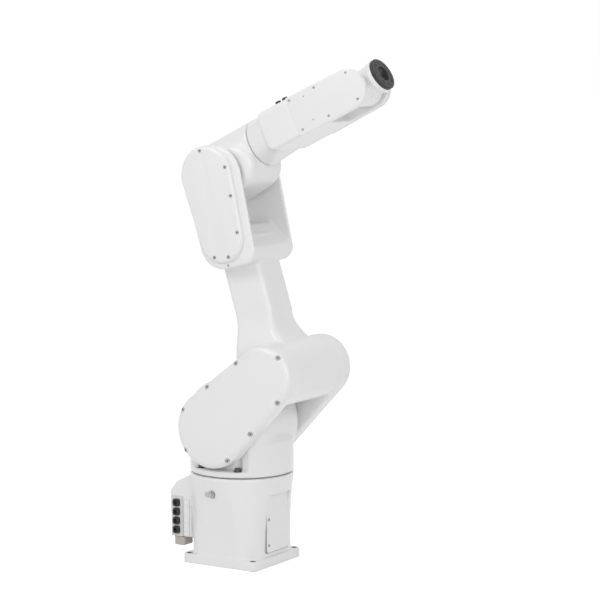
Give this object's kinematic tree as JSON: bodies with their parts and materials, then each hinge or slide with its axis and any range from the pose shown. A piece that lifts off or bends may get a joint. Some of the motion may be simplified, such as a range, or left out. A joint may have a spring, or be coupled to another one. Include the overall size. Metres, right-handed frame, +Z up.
{
  "type": "industrial robot arm",
  "caption": "White jointed industrial robot arm on a square base, with a leaning lower arm, a raised forearm and a round tool flange.",
  "frame": {"origin": "centre of the mounting plate's underside, on the floor", "axes": "+X forward, to where the forearm points, +Y to the far side of the picture's view, +Z up"},
  "size_m": [0.4982, 0.254, 1.0621],
  "materials": {
    "white_paint": "satin gloss",
    "black_plastic": "matte",
    "grey_plastic": "matte",
    "bright_metal": "plated",
    "seal_rubber": "matte",
    "black_metal": "black oxide, satin"
  },
  "bodies": {
    "base": {"base_casting": "white_paint", "base_front_cover": "white_paint", "connector_box": "white_paint", "port_panel": "grey_plastic", "air_port_1": "black_plastic", "air_port_2": "black_plastic", "air_port_3": "black_plastic", "air_port_4": "black_plastic", "power_connector": "black_plastic", "earth_boss": "bright_metal", "turntable_bearing": "seal_rubber"},
    "swing": {"swing_housing": "white_paint", "shoulder_bearing_near": "seal_rubber", "shoulder_bearing_far": "seal_rubber"},
    "lower_arm": {"lower_arm_casting": "white_paint", "shoulder_cover_near": "white_paint", "shoulder_cover_far": "white_paint", "elbow_cover_near": "white_paint", "elbow_cover_far": "white_paint", "elbow_bearing_near": "seal_rubber", "elbow_bearing_far": "seal_rubber"},
    "elbow": {"elbow_housing": "white_paint", "forearm_bearing": "seal_rubber"},
    "forearm": {"forearm_housing": "white_paint", "forearm_cover_near": "white_paint", "forearm_cover_far": "white_paint", "top_connector_block": "white_paint", "top_connector_1": "black_plastic", "top_connector_2": "black_plastic", "wrist_bearing_near": "seal_rubber", "wrist_bearing_far": "seal_rubber"},
    "wrist": {"wrist_housing": "white_paint", "wrist_collar": "white_paint", "flange_bearing": "seal_rubber"},
    "flange": {"tool_flange": "black_metal"}
  },
  "joints": [
    {"name": "turntable_turn", "type": "hinge", "parent": "base", "child": "swing", "pos_m": [0, 0, 0.195], "axis": [0, 0, 1], "range_deg": [-170, 170]},
    {"name": "shoulder_tilt", "type": "hinge", "parent": "swing", "child": "lower_arm", "pos_m": [0, 0, 0.296], "axis": [0, 1, 0], "range_deg": [-100, 40]},
    {"name": "elbow_tilt", "type": "hinge", "parent": "lower_arm", "child": "elbow", "pos_m": [-0.033, 0, 0.82], "axis": [0, -1, 0], "range_deg": [-62, 150]},
    {"name": "forearm_roll", "type": "hinge", "parent": "elbow", "child": "forearm", "pos_m": [-0.04264, 0, 0.83977], "axis": [0.8988, 0, 0.4384], "range_deg": [-270, 270]},
    {"name": "wrist_tilt", "type": "hinge", "parent": "forearm", "child": "wrist", "pos_m": [0.28901, 0, 1.00153], "axis": [0, 1, 0], "range_deg": [-125, 135]},
    {"name": "flange_turn", "type": "hinge", "parent": "wrist", "child": "flange", "pos_m": [0.34215, 0, 1.03347], "axis": [0.8572, 0, 0.515], "range_deg": [-400, 400]}
  ]
}
